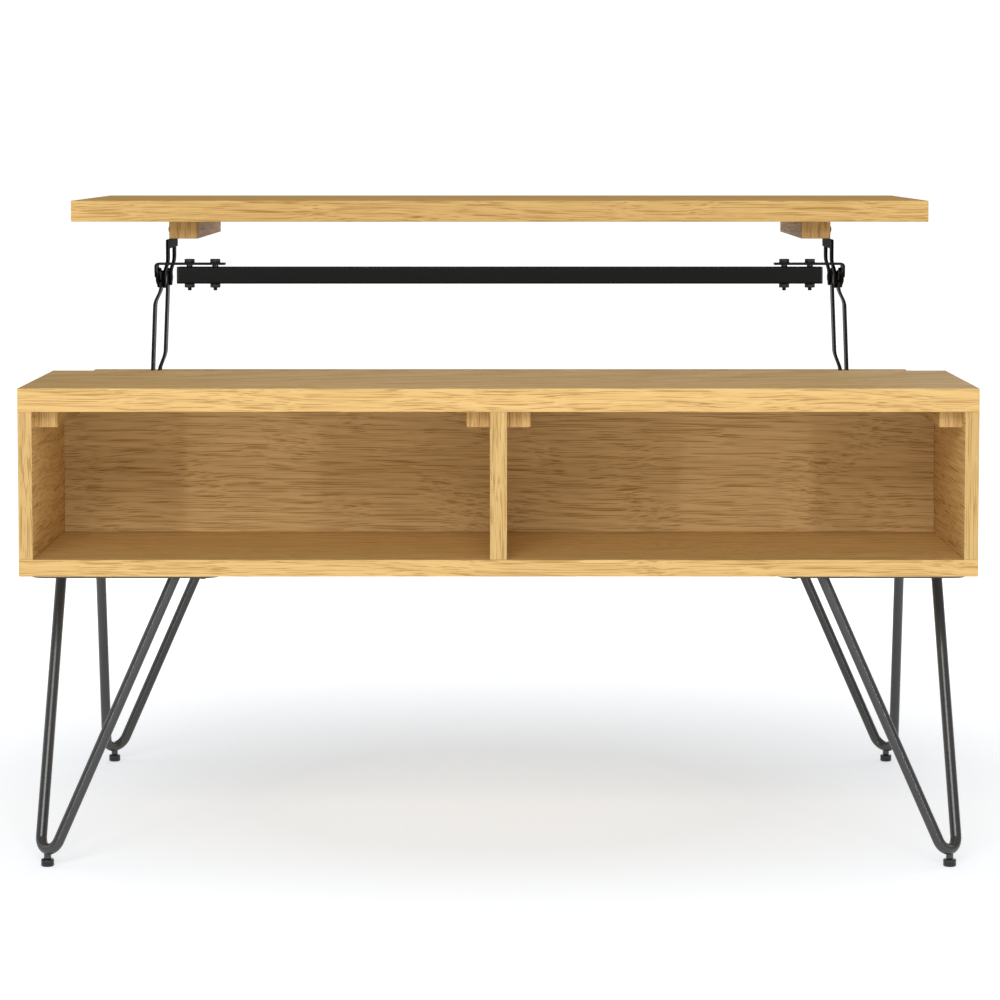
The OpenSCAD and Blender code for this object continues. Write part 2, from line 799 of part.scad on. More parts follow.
// The V of rod, upright in X and Z, with the middle of its open end at the origin.
// The bend is a hair thicker than the straight runs, whose ends are sunk in it.
module hairpin() {
    radius = rod_diameter / 2;
    sunk = 0.5;
    above = 20;
    for (mirrored = [0, 1]) mirror([mirrored, 0, 0])
        translate([splay_out, 0, 0]) rotate([0, 180 + rod_angle, 0])
            translate([0, 0, -above]) cylinder(h = rod_run + above + sunk, r = radius);
    translate([0, 0, -bend_centre]) rotate([90, 0, 0]) rotate([0, 0, 180 + rod_angle])
        rotate_extrude(angle = 180 - 2 * rod_angle)
            translate([bend_radius, 0]) circle(radius + 0.02, $fn = 48);
}

// Leaning hairpin with the drilled boss for its foot
module leg(side, end) {
    color(leg_steel) in_frame() corner(side, end) difference() {
        union() {
            translate([foot_x - rod_spread / 2, foot_end_inset + rod_spread / 2, plate_underside])
                rotate([0, 0, 45]) rotate([-leg_tilt, 0, 0]) hairpin();
            translate([foot_x, foot_end_inset, foot_height + 0.3])
                cylinder(h = bend_bottom_z - foot_height - 0.3, d = stud_diameter + 2.8);
        }
        translate([foot_x, foot_end_inset, 0])
            cylinder(h = foot_height + stud_length + 1, r = stud_diameter / 2 + pin_clearance);
        block([0, -100, plate_underside], [cabinet_width, cabinet_depth, plate_underside + 60]);
    }
}

module front_left_leg() { leg(-1, -1); }

module front_right_leg() { leg(1, -1); }

module rear_left_leg() { leg(-1, 1); }

module rear_right_leg() { leg(1, 1); }

module leg_screws() {
    color(zinc) in_frame() every_corner()
        for (at = leg_screw_at)
            translate([at.x, at.y, plate_underside]) screw(plate_thickness + bottom_thickness * 0.8);
}

// Foot: a round pad on a stud that screws up into the leg
module foot(side, end) {
    color(rubber) in_frame() corner(side, end) translate([foot_x, foot_end_inset, 0]) {
        cylinder(h = 1, d1 = foot_diameter - 2, d2 = foot_diameter);
        translate([0, 0, 1]) cylinder(h = foot_height - 2, d = foot_diameter);
        translate([0, 0, foot_height - 1]) cylinder(h = 1, d1 = foot_diameter, d2 = foot_diameter - 2);
        translate([0, 0, foot_height - tiny]) cylinder(h = stud_length, d = stud_diameter);
    }
}

module front_left_foot() { foot(-1, -1); }

module front_right_foot() { foot(1, -1); }

module rear_left_foot() { foot(-1, 1); }

module rear_right_foot() { foot(1, 1); }

bottom_panel();
left_side_panel();
right_side_panel();
rear_panel();
cubby_back_panel();
cubby_divider();
fixed_top();
left_partition();
right_partition();
left_side_cleat();
left_divider_cleat();
right_divider_cleat();
right_side_cleat();
cleat_screws();
dowels();
lid_bumpers();
left_base_bracket();
right_base_bracket();
base_bracket_screws();
base_pivot_pins();
left_spring();
right_spring();
left_front_arm();
right_front_arm();
front_pivot_rivets();
left_crossbar_bracket();
right_crossbar_bracket();
bracket_tie_rivets();
crossbar();
crossbar_caps();
crossbar_bolts();
crossbar_spacers();
crossbar_nuts();
left_rear_arm();
right_rear_arm();
rear_pivot_rivets();
lift_top();
left_lid_block();
right_lid_block();
lid_block_screws();
left_lid_bracket();
right_lid_bracket();
lid_bracket_screws();
front_left_leg_plate();
front_right_leg_plate();
rear_left_leg_plate();
rear_right_leg_plate();
front_left_leg();
front_right_leg();
rear_left_leg();
rear_right_leg();
leg_screws();
front_left_foot();
front_right_foot();
rear_left_foot();
rear_right_foot();
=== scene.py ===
# %% [markdown]
# # A lift top coffee table, finished in Blender
# The table's shapes and sizes were settled in CAD, and they arrive here as a fixed frame: every board, arm
# and bolt has its own object, in metres, where it belongs. This lesson dresses that frame. Boards get eased
# edges and oak, the lift mechanism gets black powder coat and real fasteners, and the legs get smooth rods.

# %% Load the fixed frame
import json
import math

import bpy
import bmesh
from mathutils import Matrix, Vector


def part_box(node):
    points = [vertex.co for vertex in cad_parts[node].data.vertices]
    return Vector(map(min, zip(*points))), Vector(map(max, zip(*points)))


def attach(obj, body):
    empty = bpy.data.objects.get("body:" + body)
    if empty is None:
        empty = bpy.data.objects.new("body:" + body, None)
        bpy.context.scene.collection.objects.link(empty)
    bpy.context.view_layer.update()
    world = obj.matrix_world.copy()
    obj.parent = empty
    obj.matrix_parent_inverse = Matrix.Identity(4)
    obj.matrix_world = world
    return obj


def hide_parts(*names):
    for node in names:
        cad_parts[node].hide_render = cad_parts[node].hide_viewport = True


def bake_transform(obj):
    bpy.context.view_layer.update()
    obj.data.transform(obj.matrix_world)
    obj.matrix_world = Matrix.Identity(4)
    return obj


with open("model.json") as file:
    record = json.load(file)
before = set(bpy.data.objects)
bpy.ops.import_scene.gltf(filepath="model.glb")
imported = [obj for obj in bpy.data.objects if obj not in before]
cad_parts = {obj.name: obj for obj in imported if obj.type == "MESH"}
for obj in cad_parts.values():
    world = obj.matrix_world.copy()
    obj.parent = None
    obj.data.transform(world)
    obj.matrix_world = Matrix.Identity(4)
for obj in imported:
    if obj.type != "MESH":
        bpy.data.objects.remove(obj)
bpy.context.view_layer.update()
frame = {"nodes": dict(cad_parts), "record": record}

MM = 0.001

# %% [markdown]
# ## Camera
# The table is seen from the front, from a little above the raised lid and from far enough away that the
# perspective is gentle. Upright lines stay nearly upright because part of the downward look comes from the
# lens shift instead of from tilting the camera. The rest is tilt, so that other viewpoints keep the table in
# the frame too.

# %% Camera
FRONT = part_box("bottom_panel")[0].y
CAMERA_DISTANCE = 3.481
CAMERA_HEIGHT = 0.776
CAMERA_SIDEWAYS = 0.0122
CAMERA_TILT = 3.607
FOCAL_LENGTH = 119.1


def add_camera():
    data = bpy.data.cameras.new("camera")
    data.lens = FOCAL_LENGTH
    data.sensor_width = 36
    data.shift_x = -0.010
    data.shift_y = -0.150
    data.clip_end = 60
    camera = bpy.data.objects.new("camera", data)
    bpy.context.collection.objects.link(camera)
    camera.location = (CAMERA_SIDEWAYS, FRONT - CAMERA_DISTANCE, CAMERA_HEIGHT)
    camera.rotation_euler = (math.radians(90 - CAMERA_TILT), 0, 0)
    bpy.context.scene.camera = camera


add_camera()

# %% [markdown]
# ## Floor and light
# A product like this stands on a white sweep. The floor glows a little by itself, so that it stays white
# while the table's soft shadow still shows. One broad light in front carries the picture and a weaker one comes
# from above. Two narrow strips draw long highlights on the leg rods, and three fill lights keep the sides and
# the back readable from other viewpoints.

# %% Floor and light
bpy.context.scene.view_settings.view_transform = "Standard"


def add_area_light(name, place, target, size, power):
    data = bpy.data.lights.new(name, "AREA")
    data.shape = "RECTANGLE"
    data.size, data.size_y = size
    data.energy = power
    light = bpy.data.objects.new(name, data)
    bpy.context.collection.objects.link(light)
    light.location = place
    light.rotation_euler = (Vector(target) - Vector(place)).to_track_quat("-Z", "Y").to_euler()


add_area_light("front_light", (-0.3, FRONT - 3.0, 2.1), (0, 0, 0.40), (2.2, 1.2), 64)
add_area_light("left_strip", (-1.7, FRONT - 2.2, 0.55), (-0.2, 0, 0.3), (0.09, 1.1), 10)
add_area_light("right_strip", (1.7, FRONT - 2.2, 0.55), (0.2, 0, 0.3), (0.09, 1.1), 10)
add_area_light("top_light", (0.2, 0.2, 3.0), (0, 0, 0), (3.0, 3.0), 15)
add_area_light("left_fill", (-3.4, 0.6, 1.3), (0, 0, 0.4), (2.0, 2.0), 12)
add_area_light("right_fill", (3.4, 1.6, 1.3), (0, 0, 0.4), (2.0, 2.0), 12)
add_area_light("back_fill", (0.4, 3.6, 1.4), (0, 0, 0.4), (2.4, 1.8), 20)


def add_world():
    world = bpy.data.worlds.new("studio")
    bpy.context.scene.world = world
    world.use_nodes = True
    tree = world.node_tree
    background = tree.nodes["Background"]
    background.inputs["Color"].default_value = (1, 1, 1, 1)
    background.inputs["Strength"].default_value = 0.24
    seen = tree.nodes.new("ShaderNodeBackground")
    seen.inputs["Color"].default_value = (1, 1, 1, 1)
    seen.inputs["Strength"].default_value = 1.05
    path = tree.nodes.new("ShaderNodeLightPath")
    mix = tree.nodes.new("ShaderNodeMixShader")
    tree.links.new(path.outputs["Is Camera Ray"], mix.inputs[0])
    tree.links.new(background.outputs[0], mix.inputs[1])
    tree.links.new(seen.outputs[0], mix.inputs[2])
    tree.links.new(mix.outputs[0], tree.nodes["World Output"].inputs["Surface"])


add_world()


def add_floor():
    bpy.ops.object.select_all(action="DESELECT")
    bpy.ops.mesh.primitive_plane_add(size=40, location=(0, 0, 0))
    floor = bpy.context.object
    floor.name = "floor"
    material = bpy.data.materials.new("sweep")
    material.use_nodes = True
    tree = material.node_tree
    shader = tree.nodes["Principled BSDF"]
    shader.inputs["Base Color"].default_value = (0.60, 0.60, 0.60, 1)
    shader.inputs["Roughness"].default_value = 0.9
    shader.inputs["Specular IOR Level"].default_value = 0.0
    shader.inputs["Emission Strength"].default_value = 1.0
    coordinates = tree.nodes.new("ShaderNodeTexCoord")
    distance = tree.nodes.new("ShaderNodeVectorMath")
    distance.operation = "LENGTH"
    tree.links.new(coordinates.outputs["Object"], distance.inputs[0])
    glow = tree.nodes.new("ShaderNodeMapRange")
    glow.inputs["From Min"].default_value = 0.3
    glow.inputs["From Max"].default_value = 1.5
    tree.links.new(distance.outputs["Value"], glow.inputs["Value"])
    # Near the table the glow is weaker, which paints a soft shade round the table on top of its cast shadow,
    # and a little cool, a painted tint that evens out the warm light off the oak
    tint = tree.nodes.new("ShaderNodeMix")
    tint.data_type = "RGBA"
    tint.inputs[6].default_value = (0.41, 0.457, 0.505, 1)
    tint.inputs[7].default_value = (1, 1, 1, 1)
    tree.links.new(glow.outputs[0], tint.inputs[0])
    tree.links.new(tint.outputs[2], shader.inputs["Emission Color"])
    floor.data.materials.append(material)


add_floor()

# %% [markdown]
# ## Small helpers for meshes
# Blender's operators act on whatever is selected, so every helper starts by deselecting everything. Faces
# and edges are then picked in code, by where they are or which way they look.


# %% Mesh helpers
def only(piece):
    """Makes one object the selected and active one, in object mode."""
    bpy.ops.object.select_all(action="DESELECT")
    piece.select_set(True)
    bpy.context.view_layer.objects.active = piece


def settle(piece, name):
    """Names a piece and bakes its place into its mesh."""
    only(piece)
    bpy.ops.object.transform_apply(location=True, rotation=True, scale=True)
    piece.name = piece.data.name = name
    return piece


def apply_modifier(piece, kind, **settings):
    modifier = piece.modifiers.new(kind.lower(), kind)
    for key, value in settings.items():
        setattr(modifier, key, value)
    only(piece)
    bpy.ops.object.modifier_apply(modifier=modifier.name)


def smooth(piece, angle=40):
    only(piece)
    bpy.ops.object.shade_smooth_by_angle(angle=math.radians(angle))
    apply_modifier(piece, "WEIGHTED_NORMAL", keep_sharp=True)


def copy_of(piece, name):
    twin = piece.copy()
    twin.data = piece.data.copy()
    bpy.context.collection.objects.link(twin)
    twin.name = twin.data.name = name
    return twin


def reshape(piece, matrix):
    """Moves, turns or mirrors a piece's mesh, and turns it right side out again after a mirror."""
    piece.data.transform(matrix)
    if matrix.determinant() < 0:
        only(piece)
        bpy.ops.object.mode_set(mode="EDIT")
        bpy.ops.mesh.select_all(action="SELECT")
        bpy.ops.mesh.flip_normals()
        bpy.ops.object.mode_set(mode="OBJECT")
    return piece


def joined(pieces, name):
    bpy.ops.object.select_all(action="DESELECT")
    for piece in pieces:
        piece.select_set(True)
    bpy.context.view_layer.objects.active = pieces[0]
    bpy.ops.object.join()
    whole = bpy.context.object
    whole.name = whole.data.name = name
    return whole


def paint(piece, *materials):
    piece.data.materials.clear()
    for material in materials:
        piece.data.materials.append(material)
    return piece


def place(piece, body, slot, *nodes):
    """Gives a finished piece its body and hides the CAD nodes that it stands for. The slot argument is not
    used.
    """
    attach(piece, body)
    if nodes:
        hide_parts(*nodes)
    return piece


def body_of_node(node):
    for body, nodes in frame["record"]["behaviour"]["bodies"].items():
        if node in nodes:
            return body


def slot_of_node(node):
    for entry in frame["record"]["subparts"]:
        if entry["node"] == node:
            return entry["material_slot"]


def solids_of(node):
    """Lowest and highest corner of each separate solid in a CAD node, in a steady order."""
    shape = bmesh.new()
    shape.from_mesh(frame["nodes"][node].data)
    bmesh.ops.remove_doubles(shape, verts=shape.verts, dist=1e-6)
    left = set(shape.verts)
    boxes = []
    while left:
        island = [left.pop()]
        found = []
        while island:
            vert = island.pop()
            found.append(vert.co.copy())
            for edge in vert.link_edges:
                other = edge.other_vert(vert)
                if other in left:
                    left.remove(other)
                    island.append(other)
        low = Vector([min(v[i] for v in found) for i in range(3)])
        high = Vector([max(v[i] for v in found) for i in range(3)])
        boxes.append((low, high))
    shape.free()
    return sorted(boxes, key=lambda box: tuple(round(value, 5) for value in box[0] + box[1]))


# %% [markdown]
# ## Oak
# Oak has three things that the eye looks for: growth rings, which a flat-sawn board cuts into long arches;
# open pores, which show as short dark dashes along the grain and crowd into each ring; and a soft variation
# of tone. All three are made in space, in the board's own coordinates, so that a pattern runs over an edge
# as it does in wood. They share one node group, and each material turns it to its own grain direction.


# %% Node helpers
def add_node(tree, kind, place, **settings):
    node = tree.nodes.new("ShaderNode" + kind)
    node.location = (place[0] * 180, -place[1] * 160)
    for key, value in settings.items():
        setattr(node, key, value)
    return node


def link(tree, source, target):
    tree.links.new(source, target)


def math_node(tree, operation, place, first, second=None, third=None):
    node = add_node(tree, "Math", place, operation=operation)
    for index, value in enumerate((first, second, third)):
        if value is None:
            continue
        if isinstance(value, (int, float)):
            node.inputs[index].default_value = value
        else:
            link(tree, value, node.inputs[index])
    return node.outputs[0]


def stretched_noise(tree, place, vector, stretch, detail=3.0, roughness=0.55):
    """Noise whose cells are as long as the three stretches say, in cells per metre."""
    mapping = add_node(tree, "Mapping", place)
    mapping.inputs["Scale"].default_value = stretch
    link(tree, vector, mapping.inputs["Vector"])
    noise = add_node(tree, "TexNoise", (place[0] + 1, place[1]))
    noise.inputs["Scale"].default_value = 1.0
    noise.inputs["Detail"].default_value = detail
    noise.inputs["Roughness"].default_value = roughness
    link(tree, mapping.outputs[0], noise.inputs["Vector"])
    return noise.outputs[0]


def ramp(tree, place, value, low, high, out_low=0.0, out_high=1.0):
    """A smooth step of a value between two levels."""
    node = add_node(tree, "MapRange", place, interpolation_type="SMOOTHSTEP")
    link(tree, value, node.inputs["Value"])
    for name, level in zip(("From Min", "From Max", "To Min", "To Max"), (low, high, out_low, out_high)):
        node.inputs[name].default_value = level
    return node.outputs[0]


def mixed(tree, place, amount, first, second):
    node = add_node(tree, "Mix", place, data_type="RGBA", blend_type="MIX")
    for socket, value in ((node.inputs[0], amount), (node.inputs[6], first), (node.inputs[7], second)):
        if isinstance(value, (int, float, tuple)):
            socket.default_value = value
        else:
            link(tree, value, socket)
    return node.outputs[2]


def new_group(name, inputs, outputs):
    group = bpy.data.node_groups.new(name, "ShaderNodeTree")
    for title, kind, default in inputs:
        socket = group.interface.new_socket(title, in_out="INPUT", socket_type="NodeSocket" + kind)
        if default is not None:
            socket.default_value = default
    for title, kind in outputs:
        group.interface.new_socket(title, in_out="OUTPUT", socket_type="NodeSocket" + kind)
    entry = group.nodes.new("NodeGroupInput")
    entry.location = (-400, 0)
    leave = group.nodes.new("NodeGroupOutput")
    leave.location = (2600, 0)
    return group, entry, leave


# %% [markdown]
# ### The oak figure
# The group is built once, with its grain along X. Noise stretched along the grain makes pores, hairs and
# fibre, and circles round a distant pith make the rings.


# %% The oak figure, built once
def build_oak_figure():
    """Oak with its grain along X. Out come a colour, a roughness and a height."""
    tree, entry, leave = new_group(
        "oak figure",
        [
            ("Vector", "Vector", None),
            ("Light", "Color", (0.80, 0.56, 0.26, 1)),
            ("Dark", "Color", (0.50, 0.29, 0.10, 1)),
            ("Contrast", "Float", 1.0),
            ("Ring Width", "Float", 0.0075),
            ("Pith Distance", "Float", 0.10),
        ],
        [("Color", "Color"), ("Roughness", "Float"), ("Height", "Float")],
    )
    vector = entry.outputs["Vector"]
    # Slow waves lean the grain a little, so that no two streaks are quite parallel
    lean = stretched_noise(tree, (0, 3), vector, (2.2, 5, 5), detail=2.0)
    wave = stretched_noise(tree, (0, 5), vector, (7, 14, 14), detail=2.0)
    lift = math_node(tree, "MULTIPLY_ADD", (2, 3), lean, 0.034, -0.017)
    lift = math_node(tree, "MULTIPLY_ADD", (3, 3), wave, 0.0045, lift)
    parts = add_node(tree, "SeparateXYZ", (2, 0))
    link(tree, vector, parts.inputs[0])
    across = math_node(tree, "ADD", (4, 1), parts.outputs["Y"], lift)
    deep = math_node(tree, "ADD", (4, 2), parts.outputs["Z"], lift)
    grain = add_node(tree, "CombineXYZ", (5, 0))
    link(tree, parts.outputs["X"], grain.inputs[0])
    link(tree, across, grain.inputs[1])
    link(tree, deep, grain.inputs[2])
    grain = grain.outputs[0]
    # Growth rings round a pith below the board, tilted so that they run out in long arches
    tilt = math_node(tree, "MULTIPLY", (4, 0), parts.outputs["X"], 0.07)
    depth = math_node(tree, "ADD", (5, 2), deep, tilt)
    depth = math_node(tree, "ADD", (6, 2), depth, entry.outputs["Pith Distance"])
    square = math_node(tree, "MULTIPLY", (5, 3), across, across)
    square = math_node(tree, "MULTIPLY_ADD", (7, 2), depth, depth, square)
    radius = math_node(tree, "SQRT", (8, 2), square)
    rings = math_node(tree, "DIVIDE", (9, 2), radius, entry.outputs["Ring Width"])
    phase = math_node(tree, "FRACT", (10, 2), rings)
    early = ramp(tree, (11, 2), phase, 0.0, 0.15)
    late = ramp(tree, (11, 3), phase, 0.2, 0.9, 1.0, 0.0)
    ring = math_node(tree, "MULTIPLY", (12, 2), early, late)
    # Pores: short dark dashes that crowd into each ring, over a finer fibre
    dashes = stretched_noise(tree, (6, 6), grain, (9, 1050, 1050), detail=1.2, roughness=0.5)
    crowd = math_node(tree, "MULTIPLY_ADD", (13, 3), ring, 0.040, dashes)
    pores = ramp(tree, (14, 3), crowd, 0.54, 0.65)
    hairs = stretched_noise(tree, (6, 8), grain, (36, 1100, 1100), detail=1.5, roughness=0.6)
    fine = ramp(tree, (14, 5), hairs, 0.48, 0.74)
    fibre = stretched_noise(tree, (6, 10), grain, (6, 340, 340), detail=3.0, roughness=0.6)
    tone = stretched_noise(tree, (6, 12), grain, (1.5, 22, 22), detail=2.0)
    flecks = ramp(tree, (9, 9), stretched_noise(tree, (6, 14), grain, (45, 260, 260)), 0.64, 0.76)
    # Colour
    shade = math_node(tree, "MULTIPLY_ADD", (15, 6), fibre, 0.46, -0.16)
    shade = math_node(tree, "MULTIPLY_ADD", (16, 6), tone, 0.34, shade)
    shade = math_node(tree, "MULTIPLY_ADD", (17, 6), ring, 0.12, shade)
    shade = math_node(tree, "MULTIPLY_ADD", (18, 6), fine, 0.16, shade)
    shade = math_node(tree, "MULTIPLY_ADD", (19, 6), pores, 0.56, shade)
    shade = math_node(tree, "SUBTRACT", (20, 6), shade, 0.08)
    shade = math_node(tree, "MULTIPLY", (21, 6), shade, entry.outputs["Contrast"])
    limit = add_node(tree, "Clamp", (22, 6))
    link(tree, shade, limit.inputs[0])
    colour = mixed(tree, (23, 6), limit.outputs[0], entry.outputs["Light"], entry.outputs["Dark"])
    fleck_amount = math_node(tree, "MULTIPLY", (22, 8), flecks, 0.16)
    colour = mixed(tree, (24, 6), fleck_amount, colour, (1.0, 0.80, 0.46, 1))
    link(tree, colour, leave.inputs["Color"])
    rough = math_node(tree, "MULTIPLY_ADD", (23, 9), pores, 0.14, 0.50)
    rough = math_node(tree, "MULTIPLY_ADD", (24, 9), fibre, 0.12, rough)
    link(tree, rough, leave.inputs["Roughness"])
    dip = math_node(tree, "MULTIPLY", (23, 11), pores, -1.0)
    height = math_node(tree, "MULTIPLY_ADD", (24, 11), fine, -0.3, dip)
    link(tree, height, leave.inputs["Height"])
    return tree


OAK_FIGURE = build_oak_figure()
QUARTER = math.pi / 2
# Turns that lay the group's X along each axis
GRAIN_TURN = {"x": (0, 0, 0), "y": (0, 0, -QUARTER), "z": (0, QUARTER, 0)}


RING_WIDTH = 0.011
BUMP_DEPTH = 0.0003


def oak(name, grain, offset=(0, 0, 0), light=(0.76, 0.51, 0.200), dark=(0.40, 0.215, 0.062), contrast=1.0,
        pith=0.10, specular=0.14):
    material = bpy.data.materials.new(name)
    material.use_nodes = True
    tree = material.node_tree
    shader = tree.nodes["Principled BSDF"]
    coordinates = add_node(tree, "TexCoord", (-6, 0))
    mapping = add_node(tree, "Mapping", (-5, 0))
    mapping.inputs["Rotation"].default_value = GRAIN_TURN[grain]
    mapping.inputs["Location"].default_value = offset
    link(tree, coordinates.outputs["Object"], mapping.inputs["Vector"])
    figure = add_node(tree, "Group", (-4, 0), node_tree=OAK_FIGURE)
    link(tree, mapping.outputs[0], figure.inputs["Vector"])
    figure.inputs["Light"].default_value = (*light, 1)
    figure.inputs["Dark"].default_value = (*dark, 1)
    figure.inputs["Contrast"].default_value = contrast
    figure.inputs["Ring Width"].default_value = RING_WIDTH
    figure.inputs["Pith Distance"].default_value = pith
    link(tree, figure.outputs["Color"], shader.inputs["Base Color"])
    link(tree, figure.outputs["Roughness"], shader.inputs["Roughness"])
    bump = add_node(tree, "Bump", (-2, 2))
    bump.inputs["Strength"].default_value = 0.35
    bump.inputs["Distance"].default_value = BUMP_DEPTH
    link(tree, figure.outputs["Height"], bump.inputs["Height"])
    link(tree, bump.outputs[0], shader.inputs["Normal"])
    shader.inputs["Specular IOR Level"].default_value = specular
    return material


INNER_OAK = {"light": (0.72, 0.50, 0.223), "dark": (0.344, 0.193, 0.064), "pith": 0.32}
# Painted shade: a darker oak for the cleats, which sit in shadow under the fixed top, and for the lid blocks'
# ends under the lid
UNDER_TOP_SHADE_OAK = {"light": (0.59, 0.38, 0.147), "dark": (0.285, 0.152, 0.046)}
print("oak figure ready:", len(OAK_FIGURE.nodes), "nodes")

# %% [markdown]
# ## Boards
# Each board is veneered, with banded edges. Its broad faces and long edges show grain that runs along the
# board, and its short edges are banded with grain that runs along the edge. So every board has two oak
# materials, and its faces choose between them by the way they look. A real board's edges are eased by a
# sander: a bevel of less than a millimetre catches the light there, and leaves a fine dark line at each joint.


# %% Boards
def shift(number, step):
    """Moves a board's pattern to wood of its own."""
    return (number * step, number * step * 0.31 % 0.4, number * step * 0.17 % 0.05)


def board(node, number, grain, end_grain, tone, band_tone, ease=0.7 * MM):
    """A CAD board made again with eased edges. Faces that look along the grain get end_grain's material."""
    low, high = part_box(node)
    bpy.ops.object.select_all(action="DESELECT")
    bpy.ops.mesh.primitive_cube_add(size=1, location=(low + high) / 2)
    piece = bpy.context.object
    piece.scale = high - low
    settle(piece, node + "_board")
    bpy.ops.object.mode_set(mode="EDIT")
    bpy.ops.mesh.select_all(action="SELECT")
    bpy.ops.mesh.bevel(offset=ease, segments=3, affect="EDGES")
    bpy.ops.object.mode_set(mode="OBJECT")
    along = "xyz".index(grain)
    paint(piece, oak(node + "_face", grain, shift(number, 0.37), **tone),
          oak(node + "_band", end_grain, shift(number, 0.59), **band_tone))
    for face in piece.data.polygons:
        face.material_index = 1 if abs(face.normal[along]) > 0.8 else 0
    smooth(piece)
    return place(piece, body_of_node(node), slot_of_node(node), node)


BOARDS = {
    "bottom_panel": ("x", "y"),
    "fixed_top": ("x", "y"),
    "lift_top": ("x", "y"),
    "rear_panel": ("x", "z"),
    "cubby_back_panel": ("x", "z"),
    "cubby_divider": ("y", "z"),
    "left_side_panel": ("y", "z"),
    "right_side_panel": ("y", "z"),
    "left_partition": ("y", "z"),
    "right_partition": ("y", "z"),
    "left_side_cleat": ("y", "z"),
    "left_divider_cleat": ("y", "z"),
    "right_divider_cleat": ("y", "z"),
    "right_side_cleat": ("y", "z"),
    "left_lid_block": ("y", "z"),
    "right_lid_block": ("y", "z"),
}
CABINET_OAK = {"light": (0.71, 0.475, 0.186), "dark": (0.37, 0.20, 0.058)}
# Painted shade: the lid blocks' sides, top and bottom get a much darker oak, which stands in for the shade they
# sit in under the lid
BLOCK_SIDE_SHADE_OAK = {"light": (0.36, 0.225, 0.09), "dark": (0.18, 0.10, 0.035)}
BAND_OAK = {"light": (0.61, 0.415, 0.165), "dark": (0.33, 0.18, 0.054)}
TONES = {
    "lift_top": {"specular": 0.0},
    "fixed_top": CABINET_OAK,
    "bottom_panel": CABINET_OAK,
    "cubby_back_panel": INNER_OAK,
    "rear_panel": INNER_OAK,
    "left_partition": INNER_OAK,
    "right_partition": INNER_OAK,
    # painted shade on the lid blocks' sides
    "left_lid_block": BLOCK_SIDE_SHADE_OAK,
    "right_lid_block": BLOCK_SIDE_SHADE_OAK,
}
BAND_TONES = {
    "left_side_panel": BAND_OAK,
    "right_side_panel": BAND_OAK,
    "cubby_divider": BAND_OAK,
    # painted shade on the lid blocks' ends
    "left_lid_block": UNDER_TOP_SHADE_OAK,
    "right_lid_block": UNDER_TOP_SHADE_OAK,
}
for number, (node, (grain, end_grain)) in enumerate(BOARDS.items()):
    # The cleats get the darker oak of painted shade
    tone = UNDER_TOP_SHADE_OAK if "cleat" in node else TONES.get(node, {})
    board(node, number, grain, end_grain, tone, BAND_TONES.get(node, tone))
print(len(BOARDS), "boards")

# %% [markdown]
# ## Metal and plastic finishes
# Powder coat is a thin, slightly pebbly plastic skin: satin, a little uneven, and a touch lighter where an
# edge has been rubbed. Plated screws are brighter and metallic. One group makes the pebbles and the slow
# variation, and each finish sets its own colours and roughness.


# %% Finishes
def build_coat():
    tree, entry, leave = new_group(
        "coat",
        [
            ("Vector", "Vector", None),
            ("Colour", "Color", (0.02, 0.02, 0.02, 1)),
            ("Worn Colour", "Color", (0.06, 0.06, 0.06, 1)),
            ("Base Roughness", "Float", 0.42),
        ],
        [("Color", "Color"), ("Roughness", "Float"), ("Height", "Float")],
    )
    vector = entry.outputs["Vector"]
    slow = stretched_noise(tree, (0, 0), vector, (9, 9, 9), detail=3.0)
    pebbles = stretched_noise(tree, (0, 2), vector, (1500, 1500, 1500), detail=1.5)
    scuffs = ramp(tree, (3, 4), stretched_noise(tree, (0, 4), vector, (60, 60, 240), detail=5.0), 0.60, 0.78)
    amount = math_node(tree, "MULTIPLY_ADD", (4, 1), slow, 0.35, 0.0)
    amount = math_node(tree, "MULTIPLY_ADD", (5, 1), scuffs, 0.25, amount)
    colour = mixed(tree, (6, 1), amount, entry.outputs["Colour"], entry.outputs["Worn Colour"])
    link(tree, colour, leave.inputs["Color"])
    rough = math_node(tree, "MULTIPLY_ADD", (6, 3), slow, 0.16, entry.outputs["Base Roughness"])
    rough = math_node(tree, "MULTIPLY_ADD", (7, 3), scuffs, -0.06, rough)
    link(tree, rough, leave.inputs["Roughness"])
    link(tree, pebbles, leave.inputs["Height"])
    return tree


COAT = build_coat()


def coated(name, colour, worn, roughness, metallic=0.0, bump_depth=0.00006, specular=0.5):
    material = bpy.data.materials.new(name)
    material.use_nodes = True
    tree = material.node_tree
    shader = tree.nodes["Principled BSDF"]
    coordinates = add_node(tree, "TexCoord", (-5, 0))
    coat = add_node(tree, "Group", (-4, 0), node_tree=COAT)
    link(tree, coordinates.outputs["Object"], coat.inputs["Vector"])
    coat.inputs["Colour"].default_value = (*colour, 1)
    coat.inputs["Worn Colour"].default_value = (*worn, 1)
    coat.inputs["Base Roughness"].default_value = roughness
    link(tree, coat.outputs["Color"], shader.inputs["Base Color"])
    link(tree, coat.outputs["Roughness"], shader.inputs["Roughness"])
    bump = add_node(tree, "Bump", (-2, 2))
    bump.inputs["Strength"].default_value = 0.5
    bump.inputs["Distance"].default_value = bump_depth
    link(tree, coat.outputs["Height"], bump.inputs["Height"])
    link(tree, bump.outputs[0], shader.inputs["Normal"])
    shader.inputs["Metallic"].default_value = metallic
    shader.inputs["Specular IOR Level"].default_value = specular
    return material


BLACK_STEEL = coated("black_powder_coat", (0.003, 0.003, 0.003), (0.010, 0.010, 0.010), 0.40, specular=0.14,
                     bump_depth=0.00003)
